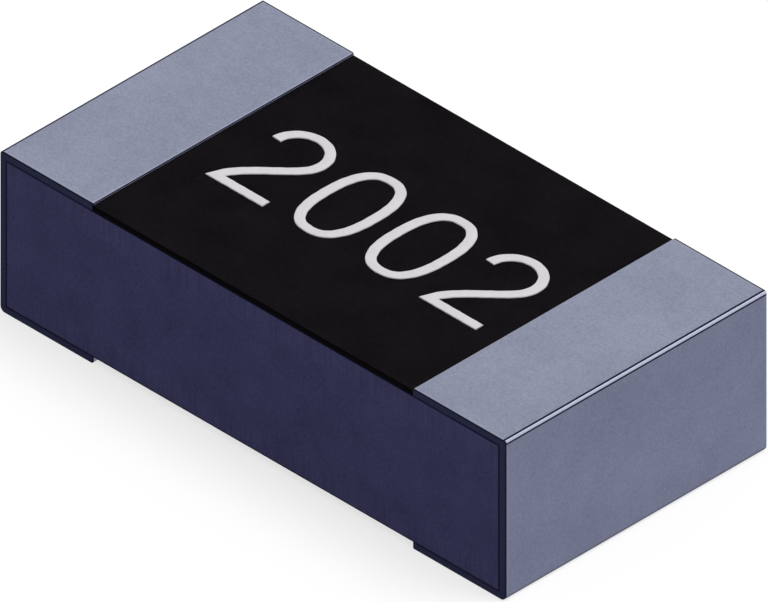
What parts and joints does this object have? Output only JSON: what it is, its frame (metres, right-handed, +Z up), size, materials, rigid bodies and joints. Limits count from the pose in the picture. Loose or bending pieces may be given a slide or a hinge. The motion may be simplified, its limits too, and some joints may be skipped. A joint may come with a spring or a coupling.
{
  "type": "smd chip resistor",
  "caption": "Surface-mount thick-film chip resistor: ceramic chip with a black overcoat and solderable tin-plated ends, soldered flat onto a circuit board.",
  "frame": {"origin": "the middle of the ceramic chip, which is the centre of the whole part; the two solder pads lie in the plane Z = -0.225 mm", "axes": "+X along the chip from one termination to the other, +Y across it, +Z up from the board through the black overcoat"},
  "size_m": [0.0016, 0.0008, 0.0004],
  "materials": {
    "alumina": "matte",
    "printed_silver": "matte",
    "silver_palladium": "matte",
    "ruthenium_film": "satin",
    "primary_glass": "gloss",
    "black_resin": "satin",
    "silver_resin": "matte",
    "nickel": "satin",
    "tin": "satin",
    "marking_ink": "matte"
  },
  "bodies": {
    "root": {"ceramic_substrate": "alumina", "bottom_electrode_left": "printed_silver", "bottom_electrode_right": "printed_silver", "top_electrode_left": "silver_palladium", "top_electrode_right": "silver_palladium", "resistive_film": "ruthenium_film", "glass_coat": "primary_glass", "protective_overcoat": "black_resin", "end_electrode_left": "silver_resin", "end_electrode_right": "silver_resin", "nickel_barrier_left": "nickel", "nickel_barrier_right": "nickel", "tin_termination_left": "tin", "tin_termination_right": "tin"}
  },
  "joints": []
}
